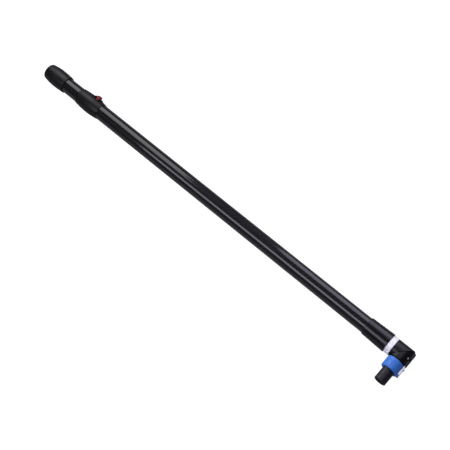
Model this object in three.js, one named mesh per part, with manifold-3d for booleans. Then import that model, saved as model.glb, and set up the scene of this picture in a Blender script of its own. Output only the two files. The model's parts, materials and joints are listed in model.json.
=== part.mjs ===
// A boom pole: a long tube with a right-angle locking connector at its foot and a short upper
// section that pulls off when the red button in the collar is pressed. The pole lies along X with
// the connector at +X, resting on its cap, its lower sleeve and the connector's blue ring. The
// origin is the middle of the bottom of the whole object. Millimetres, +Z up.
import * as THREE from 'three';
import { mergeVertices } from 'three/addons/utils/BufferGeometryUtils.js';
import Module from 'manifold-3d';

const wasm = await Module();
wasm.setup();

// ---------------------------------------------------------------- driving dimensions

const gap = 0.3; // between any two pieces that meet
const facets = 36; // round tubes and shells
const fineFacets = 16; // round pins, screws and springs
const past = 1; // how far a cut runs past what it cuts

const tubeRadius = 14;
const tubeWall = 1.4;
const exposedTube = 602; // main tube between the collar and the lower sleeve
const neckLength = 34.2; // upper tube between the cap and the collar

// A rise is how far a piece's outside stands above the tube's.
const cap = { length: 47.9, seamRise: 1.65, rise: 2.9, endRise: 0.6, peakAt: 24, fillet: 2 };
const capGrip = 16.5; // how far the upper tube goes into the cap
const socket = { radius: 9.5, depth: 15, carrier: 8, pinReach: 6, chamfer: 0.7 };
const seal = { height: 0.9, width: 2, setBack: 4 };

const collar = { length: 52.4, endRise: 0.75, rise: 2.85, peakAt: 27.2 };
const collarGrip = 11.4; // how far the main tube goes into the collar

const couplingWall = 2; // of the bush between the main tube and the spigot
const flangeRim = 1.7; // of the coupling's flange past the button
const couplingTail = 39;
const frontBush = 11.4;
const spigotWall = 2.5;
const spigotReach = 21; // how far the spigot goes past the start of the main tube
const spigotPlug = 22; // the spigot's fat end, held in the upper tube
const spigotEdge = 1; // chamfer at the spigot's tip, and how far its plug stands back
const keyway = { width: 7, depth: 1.3 };

const plate = { thickness: 2, tab: 8 };
const pressTravel = 2.5;
const button = {
  length: 11, width: 12, height: 6.6, corner: 2, edge: 1.2, lip: 4, lipHeight: 1.5,
};
const buttonSide = 143; // degrees round the pole from the insert to the button
const buttonRest = 0.8; // the button's underside above the coupling flange
const surround = { rim: 2.4, proud: 0.75, guard: 2.6, guardWidth: 15, ramp: 4.4 };
const buttonSpring = { radius: 1.8, wire: 0.6, turns: 5, rise: 5, setBack: 2 };

const poles = 4; // conductors, pins and contacts
const pin = { radius: 1.1, reach: 12, wall: 1.2 };
const plugThickness = 5;
const socketThickness = 14.5;
const cableRadius = 3;
const cableBend = 14;

const sleeve = { length: 43.3, farRise: 1.4, rise: 2.85, fillet: 0.8 };
const whiteRing = { length: 9.1, proud: 0.3 };
const adapter = { tail: 26, flange: 9.4, neck: 11, neckStep: 1.7, boreRadius: 7 };
const chuck = { length: 24, taper: 6, nose: 1, slot: 1.2, slotLength: 16 };

const elbowWall = 2.7;
const elbowBore = 9; // radius of the way that the cable takes round the corner
const elbowExtra = 1.3; // the elbow's face stands this far past its own radius, on the pole side
const elbowShort = 1.3; // and this far inside it on the insert side
const cornerCut = 3.5; // chamfer on the outer corner
const seatDepth = 5.6; // of the insert in the elbow
const ridge = { width: 13.6, rise: 2, topDrop: 4, endDrop: 1.4, skin: 1.5 };
const screw = {
  turn: 34, height: 2.2, headRadius: 2.6, headEdge: 1, shankRadius: 1.5, recess: 3.6, depth: 2.3,
  floor: 0.8, slot: 0.8, crownShare: 0.6,
};

const insertRadius = 10.1;
const insertWall = 2.3;
const insertShoulder = 2.2; // the insert's root is thicker than its barrel by this
const insertLength = 22.8; // of the barrel past the blue ring
const insertEdge = 0.5;
const insertKey = { width: 3, depth: 0.9 };
const carrier = { length: 10.5, slot: 2.2, recess: 1, holeRadius: 1.9, holeDepth: 10, inset: 0.5 };
const contact = { width: 3.6, thickness: 0.8, length: 14, setBack: 5 };

const ringSealLength = 1.2;
const lockRing = { drop: 0.4, length: 18.7, lip: 2, chamfer: 0.6 };
const lug = { width: 10, length: 3 };
const latch = { width: 9, thickness: 2, drop: 0.1, tail: 14 };
const thumb = { rise: 1, setBack: 1, crest: 1, slope: 3 }; // the latch's grip
const latchTravel = 3;
const latchSpring = { radius: 0.75, wire: 0.4, turns: 7, length: 7.4 };

// ---------------------------------------------------------------- sizes that follow

const tubeBore = tubeRadius - tubeWall;
const overTube = tubeRadius + gap; // bore of whatever slides over a tube
const inTube = tubeBore - gap; // radius of whatever plugs into a tube
const capRadius = tubeRadius + cap.rise;
const collarRadius = tubeRadius + collar.rise;
const couplingBore = inTube - couplingWall;
const spigotRadius = couplingBore - gap;
const spigotBore = spigotRadius - spigotWall;
const pinCircle = spigotBore - 2 * gap - pin.radius - pin.wall;

const rootRadius = insertRadius + insertShoulder;
const insertSeat = rootRadius + gap;
const insertBore = insertRadius - insertWall;
const neckRadius = tubeRadius - adapter.neckStep;
const elbowRadius = Math.max(neckRadius, rootRadius) + gap + elbowWall;
const elbowReach = elbowRadius + elbowExtra; // from the insert's axis to the face on the pole side
const elbowDrop = elbowRadius - elbowShort; // from the pole's axis to the face on the insert side

// Stations along the pole, counted from the insert's axis.
const whiteNear = -elbowReach - gap;
const whiteFar = whiteNear - whiteRing.length;
const sleeveNear = whiteFar - gap;
const sleeveFar = sleeveNear - sleeve.length;
const collarNear = sleeveFar - exposedTube;
const collarFar = collarNear - collar.length;
const capNear = collarFar - neckLength;
const capFar = capNear - cap.length;

const tubeStart = collarNear - collarGrip;
const tubeEnd = sleeveNear - adapter.flange - gap;
const flangeNear = tubeStart - gap;
const buttonNear = flangeNear - flangeRim;
const plateFar = buttonNear - button.length;
const plateNear = plateFar + plate.thickness;
const flangeFar = plateNear + gap;
const bushNear = plateFar - gap;
const bushFar = bushNear - frontBush;
const upperEnd = bushFar - gap;
const upperStart = capNear - capGrip;
const capSealStart = upperStart + seal.setBack;
const spigotSealStart = (bushFar + bushNear) / 2;
const spigotTip = tubeStart + spigotReach;
const plugFace = spigotTip - spigotEdge;
const plugBack = plugFace - plugThickness;
const coupleFace = spigotTip + gap;
const coupleBack = coupleFace + socketThickness;
const carrierFace = capFar + socket.depth;
const carrierBack = carrierFace + socket.carrier;

// The button stands over the latch plate and the flange, its far edge in line with the plate's.
const buttonMiddle = (plateFar + buttonNear) / 2;
const buttonFoot = tubeRadius + buttonRest;
const lipTop = buttonFoot + button.lipHeight;
const pocketFloor = buttonFoot - pressTravel - gap;
const springMiddle = buttonMiddle + buttonSpring.setBack;
const surroundLength = button.length + 2 * (gap + surround.rim);
const surroundWidth = button.width + 2 * (gap + surround.rim);

// Stations along the insert, counted from the pole's axis.
const sealStart = elbowDrop + gap;
const ringStart = sealStart + ringSealLength + gap;
const ringEnd = ringStart + lockRing.length;
const rootStart = elbowDrop - seatDepth + gap;
const rootEnd = ringEnd - lockRing.lip - gap;
const insertReach = ringEnd + insertLength;
const carrierStep = ringEnd - carrier.inset;
const lugStart = ringEnd - lug.length;
const ridgeTop = elbowRadius - ridge.topDrop;
const ridgeEnd = elbowDrop - ridge.endDrop;
const latchEnd = lugStart - gap;
const latchShoulder = ridgeEnd + latchTravel + gap;
const latchStart = latchShoulder - latch.tail;
const pocketEnd = latchStart - latchSpring.length - 2 * gap;

// Distances out from the insert's axis.
const lockRadius = elbowRadius - lockRing.drop;
const ridgeReach = elbowRadius + ridge.rise;
const latchReach = ridgeReach - latch.drop;
const latchSeat = elbowRadius - elbowWall + 2 * gap; // where the latch's channel starts
const latchInner = latchSeat + gap;
const recessFloor = elbowRadius - screw.depth;
const screwRoot = elbowBore + screw.floor;

// The connector hangs a little below level, so that its ring rests on what the cap rests on.
const restAngle =
  Math.asin(capRadius / Math.hypot(ringEnd, lockRadius)) - Math.atan2(lockRadius, ringEnd);

// ---------------------------------------------------------------- materials

function finish(name, color, roughness, metalness = 0) {
  const material = new THREE.MeshStandardMaterial({ color, roughness, metalness });
  material.name = name;
  return material;
}

const blackTube = () => finish('carbon tube', 0x17171b, 0.3);
const blackRubber = () => finish('black rubber', 0x222226, 0.75);
const blackPlastic = () => finish('black plastic', 0x1c1c20, 0.55);
const redPlastic = () => finish('red plastic', 0xa01c28, 0.45);
const whitePlastic = () => finish('white plastic', 0xe6e4ee, 0.5);
const bluePlastic = () => finish('blue plastic', 0x2f74d8, 0.45);
const aluminium = () => finish('aluminium', 0xb8bbc0, 0.4, 1);
const steel = () => finish('steel', 0xcfd2d6, 0.3, 1);
const gold = () => finish('plated contact', 0xd2b25a, 0.3, 1);
const sealRubber = () => finish('seal rubber', 0x101012, 0.85);
const cableJacket = () => finish('cable jacket', 0x141416, 0.7);

// ---------------------------------------------------------------- geometry helpers

/** Turns a closed geometry's faces outwards, if they point in. */
function outward(geometry) {
  const bare = geometry.index ? geometry.toNonIndexed() : geometry;
  const place = bare.attributes.position;
  const [a, b, c] = [new THREE.Vector3(), new THREE.Vector3(), new THREE.Vector3()];
  let volume = 0;
  for (let i = 0; i < place.count; i += 3) {
    a.fromBufferAttribute(place, i);
    b.fromBufferAttribute(place, i + 1);
    c.fromBufferAttribute(place, i + 2);
    volume += a.dot(b.cross(c));
  }
  if (volume > 0) return bare;
  for (let i = 0; i < place.count; i += 3) {
    b.fromBufferAttribute(place, i + 1);
    c.fromBufferAttribute(place, i + 2);
    place.setXYZ(i + 1, c.x, c.y, c.z);
    place.setXYZ(i + 2, b.x, b.y, b.z);
  }
  bare.computeVertexNormals();
  return bare;
}

/** A solid for cutting and joining, from a closed geometry. */
function solid(geometry) {
  const bare = outward(geometry).clone();
  bare.deleteAttribute('normal');
  bare.deleteAttribute('uv');
  const merged = mergeVertices(bare, 1e-4);
  const corners = merged.index.array;
  const kept = [];
  for (let i = 0; i < corners.length; i += 3) {
    const [a, b, c] = [corners[i], corners[i + 1], corners[i + 2]];
    if (a !== b && b !== c && c !== a) kept.push(a, b, c);
  }
  const vertProperties = new Float32Array(merged.attributes.position.array);
  const mesh = new wasm.Mesh({ numProp: 3, vertProperties, triVerts: new Uint32Array(kept) });
  return new wasm.Manifold(mesh);
}

/** The geometry of a cut or joined solid. */
function surface(body) {
  const mesh = body.getMesh();
  const geometry = new THREE.BufferGeometry();
  geometry.setAttribute('position', new THREE.BufferAttribute(mesh.vertProperties, 3));
  geometry.setIndex(new THREE.BufferAttribute(mesh.triVerts, 1));
  geometry.computeVertexNormals();
  return geometry;
}

/** A shape turned about the pole's axis, from [x, radius] points round its section. */
function turned(section, segments = facets) {
  const points = section.map(([x, radius]) => new THREE.Vector2(radius, x));
  const first = points[0];
  const last = points[points.length - 1];
  if (first.x > 0 && !first.equals(last)) points.push(first.clone());
  return outward(new THREE.LatheGeometry(points, segments).rotateZ(-Math.PI / 2));
}

/** A shape turned about the insert's axis, from [distance from the pole, radius] points. */
function turnedDown(section, segments = facets) {
  return turned(section, segments).rotateZ(-Math.PI / 2);
}

/** A tube from one station to the next. */
function ring(from, to, innerRadius, outerRadius, segments = facets) {
  return turned(
    [[from, innerRadius], [from, outerRadius], [to, outerRadius], [to, innerRadius]],
    segments,
  );
}

/** A rod from one station to the next. */
function rod(from, to, radius, segments = fineFacets) {
  return turned([[from, 0], [from, radius], [to, radius], [to, 0]], segments);
}

/** A box given by its lowest and highest corners. */
function block(low, high) {
  const [x, y, z] = [0, 1, 2].map((i) => high[i] - low[i]);
  const [cx, cy, cz] = [0, 1, 2].map((i) => (high[i] + low[i]) / 2);
  return new THREE.BoxGeometry(x, y, z).translate(cx, cy, cz);
}

/** A swelling outline: two parabolas that meet at the fattest place. */
function bulge(from, fromRadius, peak, peakRadius, to, toRadius, steps) {
  const points = [];
  for (let i = 0; i <= steps; i++) {
    const x = THREE.MathUtils.lerp(from, to, i / steps);
    const before = (x - peak) * (to - from) < 0;
    const end = before ? from : to;
    const drop = peakRadius - (before ? fromRadius : toRadius);
    points.push([x, peakRadius - drop * ((x - peak) / (end - peak)) ** 2]);
  }
  return points;
}

/** A quarter-round edge from an outside down to an end face at x, without its first point. */
function roundedEdge(x, radius, size, steps = 3) {
  const points = [];
  for (let i = 1; i <= steps; i++) {
    const angle = (i / steps) * (Math.PI / 2);
    points.push([x + size * (1 - Math.sin(angle)), radius - size * (1 - Math.cos(angle))]);
  }
  return points;
}

function circlePath(x, y, radius) {
  return new THREE.Path().absarc(x, y, radius, 0, 2 * Math.PI, false);
}

/** The angle of each conductor round its circle. */
function poleAngles() {
  return Array.from({ length: poles }, (_, i) => (i + 0.5) * ((2 * Math.PI) / poles));
}

/** The conductors' places in the discs, as [across, up]. */
function polePlaces() {
  return poleAngles().map((angle) => [pinCircle * Math.cos(angle), pinCircle * Math.sin(angle)]);
}

/** Stands a flat outline up across the pole and gives it a thickness from one station on. */
function acrossPole(shape, from, to, curveSegments) {
  const geometry = new THREE.ExtrudeGeometry(shape, {
    depth: to - from, bevelEnabled: false, curveSegments,
  });
  const turn = new THREE.Matrix4().makeBasis(
    new THREE.Vector3(0, 1, 0), new THREE.Vector3(0, 0, 1), new THREE.Vector3(1, 0, 0),
  );
  return outward(geometry.applyMatrix4(turn).translate(from, 0, 0));
}

/** An insulating disc with a hole for each conductor. */
function pinDisc(from, to, radius) {
  const shape = new THREE.Shape().absarc(0, 0, radius, 0, 2 * Math.PI, false);
  for (const [across, up] of polePlaces()) {
    shape.holes.push(circlePath(across, up, pin.radius + gap));
  }
  return acrossPole(shape, from, to, fineFacets / 2);
}

class Coil extends THREE.Curve {
  constructor({ radius, turns }, length) {
    super();
    Object.assign(this, { radius, turns, length });
  }

  getPoint(t, target = new THREE.Vector3()) {
    const angle = 2 * Math.PI * this.turns * t;
    return target.set(
      this.radius * Math.cos(angle), this.radius * Math.sin(angle), this.length * t,
    );
  }
}

/** A coil spring standing on z = 0, its wire's middle that far inside both ends. */
function coilSpring(size, length) {
  const wire = new THREE.Shape().absarc(0, 0, size.wire / 2, 0, 2 * Math.PI, false);
  const path = new Coil(size, length - size.wire);
  const steps = Math.round(size.turns * 10);
  return outward(
    new THREE.ExtrudeGeometry(wire, { steps, extrudePath: path, curveSegments: 3 })
      .translate(0, 0, size.wire / 2),
  );
}

/** The cable's way: along the pole, round the corner and down into the insert. */
class CableRoute extends THREE.Curve {
  constructor(start, bend, end) {
    super();
    Object.assign(this, { start, bend, end });
  }

  // The steps are shared out by stretch, not by length: the straight needs only one.
  getUtoTmapping(u) {
    return u;
  }

  getPoint(t, target = new THREE.Vector3()) {
    const straight = 0.1;
    if (t < straight) {
      return target.set(THREE.MathUtils.lerp(this.start, -this.bend, t / straight), 0, 0);
    }
    if (t > 1 - straight) {
      const along = (t - 1 + straight) / straight;
      return target.set(0, -THREE.MathUtils.lerp(this.bend, this.end, along), 0);
    }
    const angle = ((t - straight) / (1 - 2 * straight)) * (Math.PI / 2);
    return target.set(
      this.bend * (Math.sin(angle) - 1), this.bend * (Math.cos(angle) - 1), 0,
    );
  }
}

function piece(group, name, geometry, material) {
  const mesh = new THREE.Mesh(geometry, material);
  mesh.name = name;
  group.add(mesh);
  return mesh;
}

// ---------------------------------------------------------------- upper section

function endCap() {
  const outline = bulge(
    capNear, tubeRadius + cap.seamRise, capNear - cap.peakAt, capRadius,
    capFar + cap.fillet, tubeRadius + cap.endRise, 12,
  );
  const grooveEnd = capSealStart + seal.width + gap;
  const section = [
    ...outline,
    ...roundedEdge(capFar, tubeRadius + cap.endRise, cap.fillet),
    [capFar, socket.radius + socket.chamfer],
    [capFar + socket.chamfer, socket.radius],
    [upperStart - gap, socket.radius],
    [upperStart - gap, overTube],
    [capSealStart - gap, overTube],
    [capSealStart - gap, overTube + seal.height],
    [grooveEnd, overTube + seal.height],
    [grooveEnd, overTube],
    [capNear, overTube],
  ];
  return turned(section);
}

function capSeal() {
  return ring(capSealStart, capSealStart + seal.width, overTube, overTube + seal.height - gap);
}

function spigot() {
  const floor = spigotRadius - seal.height;
  const grooveEnd = spigotSealStart + seal.width + gap;
  const section = [
    [upperEnd - spigotPlug, spigotBore],
    [upperEnd - spigotPlug, inTube],
    [upperEnd, inTube],
    [upperEnd, spigotRadius],
    [spigotSealStart - gap, spigotRadius],
    [spigotSealStart - gap, floor],
    [grooveEnd, floor],
    [grooveEnd, spigotRadius],
    [spigotTip - spigotEdge, spigotRadius],
    [spigotTip, spigotRadius - spigotEdge],
    [spigotTip, spigotBore],
  ];
  // The latch plate's tooth stands in this slot, on the side away from the button.
  const slot = block(
    [bushNear, -keyway.width / 2, -tubeRadius],
    [spigotTip + past, keyway.width / 2, keyway.depth - spigotRadius],
  );
  return surface(solid(turned(section)).subtract(solid(slot)));
}

function spigotSeal() {
  const inner = spigotRadius - seal.height + gap;
  const outer = spigotRadius + gap / 2;
  return ring(spigotSealStart, spigotSealStart + seal.width, inner, outer);
}

function buildUpperSection(group) {
  piece(group, 'end_cap', endCap(), blackRubber());
  piece(group, 'cap_seal', capSeal(), sealRubber());
  piece(group, 'upper_tube', ring(upperStart, upperEnd, tubeBore, tubeRadius), blackTube());
  piece(group, 'socket_carrier', pinDisc(carrierFace, carrierBack, socket.radius - gap), blackPlastic());
  piece(group, 'coupling_plug', pinDisc(plugBack, plugFace, spigotBore - gap), blackPlastic());
  piece(group, 'upper_cable', rod(carrierBack + gap, plugBack - gap, cableRadius), cableJacket());
  polePlaces().forEach(([across, up], i) => {
    const outer = rod(carrierFace - socket.pinReach, carrierBack, pin.radius, 10);
    const inner = rod(plugBack, plugFace + pin.reach, pin.radius, 10);
    piece(group, `socket_pin_${i + 1}`, outer.translate(0, across, up), gold());
    piece(group, `coupling_pin_${i + 1}`, inner.translate(0, across, up), gold());
  });
}

// ---------------------------------------------------------------- collar and its release

/** The space that the button and its travel need, cut from whatever lies under it. */
function buttonPocket() {
  const half = button.width / 2 + gap;
  return solid(block(
    [plateFar - gap, -half, pocketFloor], [buttonNear + gap, half, 2 * tubeRadius],
  ));
}

function couplingBody() {
  const section = [
    [flangeFar, couplingBore],
    [flangeFar, tubeRadius],
    [flangeNear, tubeRadius],
    [flangeNear, inTube],
    [tubeStart + couplingTail, inTube],
    [tubeStart + couplingTail, couplingBore],
  ];
  return surface(solid(turned(section)).subtract(buttonPocket()));
}

function collarShell() {
  const endRadius = tubeRadius + collar.endRise;
  const outline = bulge(
    collarNear, endRadius, collarFar + collar.peakAt, collarRadius, collarFar, endRadius, 14,
  );
  const section = [...outline, [collarFar, overTube], [collarNear, overTube]];
  const window = block(
    [buttonMiddle - surroundLength / 2 - gap, -surroundWidth / 2 - gap, 0],
    [buttonMiddle + surroundLength / 2 + gap, surroundWidth / 2 + gap, 2 * tubeRadius],
  );
  return surface(solid(turned(section)).subtract(solid(window)));
}

function buttonSurround() {
  const far = buttonMiddle - surroundLength / 2;
  const near = buttonMiddle + surroundLength / 2;
  const top = collarRadius + surround.proud;
  const half = surroundWidth / 2;
  const rim = solid(ring(far - past, near + past, overTube, top));
  const plan = solid(block([far, -half, 0], [near, half, 2 * tubeRadius]));
  // A ramp on the cap side keeps the button from being pressed by accident. The button's lip
  // stands under it, so the button can't fall out.
  const guardNear = plateFar + button.lip - gap;
  const guardShape = new THREE.Shape()
    .moveTo(far, overTube + gap)
    .lineTo(guardNear, overTube + gap)
    .lineTo(guardNear, top + surround.guard)
    .lineTo(far + surround.ramp, top + surround.guard)
    .lineTo(far, top)
    .closePath();
  const guard = new THREE.ExtrudeGeometry(guardShape, {
    depth: surround.guardWidth, bevelEnabled: false,
  }).rotateX(Math.PI / 2).translate(0, surround.guardWidth / 2, 0);
  const halfWidth = button.width / 2 + gap;
  const window = solid(block(
    [guardNear, -halfWidth, 0], [buttonNear + gap, halfWidth, 2 * tubeRadius],
  )).add(solid(block(
    [plateFar - gap, -halfWidth, 0], [guardNear + past, halfWidth, lipTop + gap],
  )));
  return surface(rim.intersect(plan).add(solid(guard)).subtract(window));
}

/**
 * A ring round the spigot whose hole and outside are two half circles, drawn apart by the button's
 * travel. A tab stands up under the button, and a tooth stands into the spigot's slot.
 */
function latchPlate() {
  const hole = spigotRadius + gap;
  const outside = tubeRadius - pressTravel;
  const halfTab = plate.tab / 2;
  const tabAngle = Math.asin(halfTab / outside);
  const tabTop = buttonFoot - gap;
  const outline = new THREE.Shape()
    .absarc(0, pressTravel, outside, 0, Math.PI / 2 - tabAngle, false)
    .lineTo(halfTab, tabTop)
    .lineTo(-halfTab, tabTop)
    .absarc(0, pressTravel, outside, Math.PI / 2 + tabAngle, Math.PI, false)
    .absarc(0, 0, outside, Math.PI, 2 * Math.PI, false);
  const halfTooth = keyway.width / 2 - gap;
  const toothAngle = Math.asin(halfTooth / hole);
  const toothTop = spigotRadius - keyway.depth + gap;
  const cut = new THREE.Path()
    .absarc(0, pressTravel, hole, 0, Math.PI, false)
    .absarc(0, 0, hole, Math.PI, 1.5 * Math.PI - toothAngle, false)
    .lineTo(-halfTooth, -toothTop)
    .lineTo(halfTooth, -toothTop)
    .absarc(0, 0, hole, 1.5 * Math.PI + toothAngle, 2 * Math.PI, false);
  outline.holes.push(cut);
  return acrossPole(outline, plateFar, plateNear, fineFacets / 2);
}

function releaseButton() {
  const { length, width, height, corner: round, edge, lip: lipLength } = button;
  const [halfLength, halfWidth] = [(length - lipLength) / 2 - edge, width / 2 - edge];
  const shape = new THREE.Shape()
    .absarc(halfLength - round, halfWidth - round, round, 0, Math.PI / 2, false)
    .absarc(round - halfLength, halfWidth - round, round, Math.PI / 2, Math.PI, false)
    .absarc(round - halfLength, round - halfWidth, round, Math.PI, 1.5 * Math.PI, false)
    .absarc(halfLength - round, round - halfWidth, round, 1.5 * Math.PI, 2 * Math.PI, false);
  const cover = new THREE.ExtrudeGeometry(shape, {
    depth: height - 2 * edge, bevelThickness: edge, bevelSize: edge, bevelSegments: 2,
    curveSegments: 2,
  }).translate(buttonMiddle + lipLength / 2, 0, buttonFoot + edge);
  const lip = block(
    [plateFar, edge - width / 2, buttonFoot], [buttonMiddle, width / 2 - edge, lipTop],
  );
  const seat = new THREE.CylinderGeometry(
    buttonSpring.radius + buttonSpring.wire, buttonSpring.radius + buttonSpring.wire,
    2 * buttonSpring.rise, fineFacets,
  ).rotateX(Math.PI / 2).translate(springMiddle, 0, buttonFoot);
  return surface(solid(cover).add(solid(lip)).subtract(solid(seat)));
}

function releaseSpring() {
  const foot = pocketFloor + gap;
  const top = buttonFoot + buttonSpring.rise - gap;
  return coilSpring(buttonSpring, top - foot).translate(springMiddle, 0, foot);
}

function buildCollar(group) {
  piece(group, 'collar_shell', collarShell(), blackRubber());
  piece(group, 'button_surround', buttonSurround(), blackPlastic());
  piece(group, 'coupling_body', couplingBody(), aluminium());
  piece(group, 'coupling_front_bush', ring(bushFar, bushNear, couplingBore, tubeRadius), aluminium());
  piece(group, 'latch_plate', latchPlate(), steel());
  piece(group, 'release_button', releaseButton(), redPlastic());
  piece(group, 'button_spring', releaseSpring(), steel());
  piece(group, 'spigot', spigot(), aluminium());
  piece(group, 'spigot_seal', spigotSeal(), sealRubber());
}

// ---------------------------------------------------------------- main tube and its foot

function lowerSleeve() {
  const { fillet } = sleeve;
  const farRadius = tubeRadius + sleeve.farRise;
  const nearRadius = tubeRadius + sleeve.rise;
  return turned([
    [sleeveFar, overTube],
    [sleeveFar, farRadius - fillet / 2],
    [sleeveFar + fillet / 2, farRadius],
    [sleeveNear - fillet, nearRadius],
    [sleeveNear, nearRadius - fillet],
    [sleeveNear, overTube],
  ]);
}

function adapterBush() {
  const flangeStart = sleeveNear - adapter.flange;
  return turned([
    [tubeEnd - adapter.tail, adapter.boreRadius],
    [tubeEnd - adapter.tail, inTube],
    [flangeStart, inTube],
    [flangeStart, tubeRadius],
    [sleeveNear, tubeRadius],
    [sleeveNear, neckRadius],
    [sleeveNear + adapter.neck, neckRadius],
    [sleeveNear + adapter.neck, adapter.boreRadius],
  ]);
}

/** A split collet that grips the cable, its slots open at the far end. */
function cableChuck() {
  const near = sleeveNear;
  const far = near - chuck.length;
  const grip = cableRadius + gap;
  const outer = adapter.boreRadius - gap;
  const jaws = turned([
    [far, grip], [far, outer - chuck.nose], [far + chuck.taper, outer], [near, outer], [near, grip],
  ], 24);
  const half = chuck.slot / 2;
  const cutEnd = far + chuck.slotLength;
  const across = solid(block([far - past, -half, -tubeRadius], [cutEnd, half, tubeRadius]));
  const upright = solid(block([far - past, -tubeRadius, -half], [cutEnd, tubeRadius, half]));
  return surface(solid(jaws).subtract(across).subtract(upright));
}

function buildFoot(group) {
  piece(group, 'main_tube', ring(tubeStart, tubeEnd, tubeBore, tubeRadius), blackTube());
  piece(group, 'coupling_socket', pinDisc(coupleFace, coupleBack, couplingBore - gap), blackPlastic());
  piece(group, 'lower_sleeve', lowerSleeve(), blackPlastic());
  piece(group, 'adapter_bush', adapterBush(), aluminium());
  piece(group, 'cable_chuck', cableChuck(), blackPlastic());
  const band = ring(whiteFar, whiteNear, neckRadius + gap, elbowRadius + whiteRing.proud);
  piece(group, 'white_ring', band, whitePlastic());
}

// ---------------------------------------------------------------- right-angle connector

/** Half of all space on one side of a plane square to the given direction in the mitre's plane. */
function beyond(directionX, directionY, distance) {
  const size = 8 * elbowRadius;
  const angle = Math.atan2(directionY, directionX);
  return solid(
    new THREE.BoxGeometry(size, size, size).translate(distance + size / 2, 0, 0).rotateZ(angle),
  );
}

/** The outer corner's chamfer, which both halves of the elbow share. */
function outerCorner() {
  return beyond(1, 1, Math.SQRT2 * elbowRadius - cornerCut / Math.SQRT2);
}

function elbowInlet() {
  const neckSeat = neckRadius + gap;
  const seatFloor = sleeveNear + adapter.neck + gap;
  const section = [
    [-elbowReach, neckSeat],
    [-elbowReach, elbowRadius],
    [elbowRadius, elbowRadius],
    [elbowRadius, elbowBore],
    [seatFloor, elbowBore],
    [seatFloor, neckSeat],
  ];
  const root = rod(elbowDrop - seatDepth, 2 * elbowRadius, insertSeat, facets);
  return surface(
    solid(turned(section))
      .subtract(beyond(1, -1, -gap / 2))
      .subtract(outerCorner())
      .subtract(solid(root.rotateZ(-Math.PI / 2))),
  );
}

/** Where the housing screw stands: a direction out from the insert's axis, and its height. */
const screwTurn = new THREE.Matrix4()
  .makeRotationY(-THREE.MathUtils.degToRad(screw.turn))
  .setPosition(0, -screw.height, 0);

/** Turns something that stands along X to stand along the housing screw. */
function onScrew(geometry) {
  return geometry.applyMatrix4(screwTurn);
}

function elbowOutlet() {
  const section = [
    [-elbowRadius, elbowBore],
    [-elbowRadius, elbowRadius],
    [elbowDrop, elbowRadius],
    [elbowDrop, insertSeat],
    [elbowDrop - seatDepth, insertSeat],
    [elbowDrop - seatDepth, elbowBore],
  ];
  const barrel = solid(turnedDown(section)).subtract(outerCorner());
  const halfRidge = ridge.width / 2;
  const ridgeBlock = solid(block(
    [latchSeat - gap, -ridgeEnd, -halfRidge], [ridgeReach, ridgeTop, halfRidge],
  ));
  const halfLatch = latch.width / 2 + gap;
  const channel = solid(block(
    [latchSeat, -2 * elbowRadius, -halfLatch],
    [ridgeReach - ridge.skin, -pocketEnd, halfLatch],
  ));
  const recess = solid(onScrew(rod(recessFloor, 2 * elbowRadius, screw.recess, 20)));
  const screwHole = solid(onScrew(rod(screwRoot, 2 * elbowRadius, screw.shankRadius + gap, 10)));
  return surface(
    barrel.add(ridgeBlock)
      .subtract(beyond(-1, 1, -gap / 2))
      .subtract(channel)
      .subtract(recess)
      .subtract(screwHole),
  );
}

function housingScrew() {
  const head = recessFloor + gap;
  const crown = elbowRadius - gap;
  const arm = screw.headRadius * screw.crownShare;
  const shape = solid(turned([
    [screwRoot + gap, 0],
    [screwRoot + gap, screw.shankRadius],
    [head, screw.shankRadius],
    [head, screw.headRadius],
    [head + screw.headEdge, screw.headRadius],
    [crown, arm],
    [crown, 0],
  ], fineFacets));
  const half = screw.slot / 2;
  const floor = crown - screw.slot;
  const cross = solid(block([floor, -arm, -half], [2 * crown, arm, half]))
    .add(solid(block([floor, -half, -arm], [2 * crown, half, arm])));
  return onScrew(surface(shape.subtract(cross)));
}

function insertBarrel() {
  const section = [
    [rootStart, insertBore],
    [rootStart, rootRadius],
    [rootEnd, rootRadius],
    [rootEnd, insertRadius],
    [insertReach - insertEdge, insertRadius],
    [insertReach, insertRadius - insertEdge],
    [insertReach, insertBore],
  ];
  const halfKey = insertKey.width / 2;
  const key = block(
    [insertRadius - insertKey.depth, -insertReach - past, -halfKey],
    [2 * insertRadius, -rootEnd - gap, halfKey],
  );
  return surface(solid(turnedDown(section)).subtract(solid(key)));
}

function contactCarrier() {
  const front = insertReach - carrier.recess;
  const hole = carrier.holeRadius;
  const core = insertBore - carrier.slot;
  return turnedDown([
    [carrierStep - carrier.length, 0],
    [carrierStep - carrier.length, insertBore - gap],
    [carrierStep, insertBore - gap],
    [carrierStep, core],
    [front, core],
    [front, hole],
    [front - carrier.holeDepth, hole],
    [front - carrier.holeDepth, 0],
  ], 32);
}

function contactBlade(angle) {
  const near = insertBore - carrier.slot + gap;
  const from = insertReach - contact.setBack - contact.length;
  const half = contact.width / 2;
  return block([near, -from - contact.length, -half], [near + contact.thickness, -from, half])
    .rotateY(angle);
}

function lockingRing() {
  const { lip, chamfer } = lockRing;
  const section = [
    [ringStart, insertSeat],
    [ringStart, lockRadius - chamfer],
    [ringStart + chamfer, lockRadius],
    [ringEnd - chamfer, lockRadius],
    [ringEnd, lockRadius - chamfer],
    [ringEnd, insertRadius + gap],
    [ringEnd - lip, insertRadius + gap],
    [ringEnd - lip, insertSeat],
  ];
  const halfLatch = latch.width / 2 + gap;
  const flat = solid(block(
    [latchSeat, -lugStart, -halfLatch], [2 * lockRadius, past - ringStart, halfLatch],
  ));
  const halfLug = lug.width / 2;
  const foot = solid(block([latchSeat, -ringEnd, -halfLug], [ridgeReach, -lugStart, halfLug]));
  return surface(solid(turnedDown(section)).subtract(flat).add(foot));
}

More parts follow.
